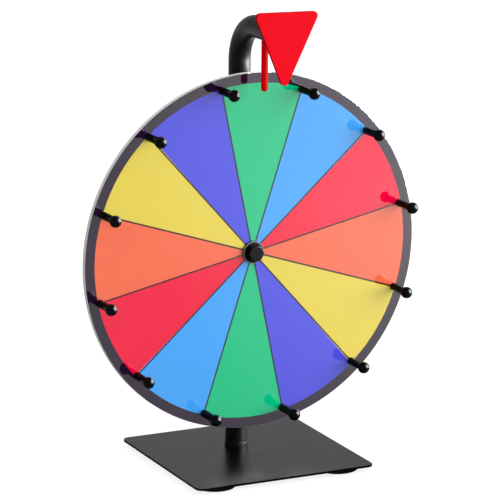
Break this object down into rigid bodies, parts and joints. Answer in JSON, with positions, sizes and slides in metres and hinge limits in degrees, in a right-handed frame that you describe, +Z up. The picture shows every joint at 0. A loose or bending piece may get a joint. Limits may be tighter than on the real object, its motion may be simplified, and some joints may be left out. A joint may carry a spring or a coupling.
{
  "type": "tabletop prize wheel",
  "caption": "Tabletop prize wheel: a pegged disc of coloured sectors spins on ball bearings on a bent pole over a base plate, clicking past a flexible flapper beside a pointer.",
  "frame": {"origin": "on the table, under the middle of the base plate, which is the bottom centre of the bounding box", "axes": "+Z up, -Y towards the player who faces the printed side, +X to that player's right"},
  "size_m": [0.3809, 0.195, 0.4937],
  "materials": {
    "black_powder_coat": "satin black powder coat on steel",
    "black_rubber": "matte moulded rubber",
    "zinc_steel": "zinc plated steel",
    "bearing_steel": "ground and polished steel",
    "cage_brass": "machined brass",
    "black_nylon": "moulded nylon",
    "gloss_black_plastic": "polished black plastic",
    "white_foam_board": "closed-cell foam board with a cut edge",
    "sector_print": "sheet printed with six colours, each twice, inside a dark band",
    "clear_sheet": "clear polished sheet",
    "red_plastic": "bright red moulded plastic",
    "red_flexible_plastic": "flexible red plastic"
  },
  "bodies": {
    "stand": {"base_plate": "black_powder_coat", "foot_front_left": "black_rubber", "foot_front_right": "black_rubber", "foot_rear_left": "black_rubber", "foot_rear_right": "black_rubber", "base_bolt": "zinc_steel", "base_washer": "zinc_steel", "pole_insert": "black_powder_coat", "pole": "black_powder_coat", "axle_bolt": "zinc_steel", "rear_saddle": "black_nylon", "front_saddle": "black_nylon", "rear_spacer": "zinc_steel", "front_spacer": "zinc_steel", "axle_nut": "zinc_steel", "nut_cap": "gloss_black_plastic", "front_inner_race": "bearing_steel", "rear_inner_race": "bearing_steel", "end_plug": "black_nylon", "pointer": "red_plastic", "flapper_bush": "black_nylon"},
    "wheel": {"disc_board": "white_foam_board", "face_print": "sector_print", "clear_cover": "clear_sheet", "hub_housing": "black_nylon", "hub_circlip": "zinc_steel", "hub_screws": "zinc_steel", "front_outer_race": "bearing_steel", "rear_outer_race": "bearing_steel", "peg_1": "gloss_black_plastic", "peg_2": "gloss_black_plastic", "peg_3": "gloss_black_plastic", "peg_4": "gloss_black_plastic", "peg_5": "gloss_black_plastic", "peg_6": "gloss_black_plastic", "peg_7": "gloss_black_plastic", "peg_8": "gloss_black_plastic", "peg_9": "gloss_black_plastic", "peg_10": "gloss_black_plastic", "peg_11": "gloss_black_plastic", "peg_12": "gloss_black_plastic", "peg_screws": "zinc_steel"},
    "front_ball_set": {"front_balls": "bearing_steel", "front_cage": "cage_brass"},
    "rear_ball_set": {"rear_balls": "bearing_steel", "rear_cage": "cage_brass"},
    "flapper": {"flapper": "red_flexible_plastic"}
  },
  "joints": [
    {"name": "wheel_spin", "type": "hinge", "parent": "stand", "child": "wheel", "pos_m": [0, 0, 0.2285], "axis": [0, -1, 0], "continuous": true},
    {"name": "front_balls_orbit", "type": "hinge", "parent": "stand", "child": "front_ball_set", "pos_m": [0, 0, 0.2285], "axis": [0, -1, 0], "continuous": true},
    {"name": "rear_balls_orbit", "type": "hinge", "parent": "stand", "child": "rear_ball_set", "pos_m": [0, 0, 0.2285], "axis": [0, -1, 0], "continuous": true},
    {"name": "flapper_bend", "type": "hinge", "parent": "stand", "child": "flapper", "pos_m": [0, -0.0326, 0.4563], "axis": [0, -1, 0], "range_deg": [-40, 40], "stiffness_Nm_per_rad": 0.1, "deforming": ["flapper"]}
  ],
  "couplings": [
    {"joint": "front_balls_orbit", "follows": "wheel_spin", "ratio": 0.63},
    {"joint": "rear_balls_orbit", "follows": "wheel_spin", "ratio": 0.63}
  ]
}
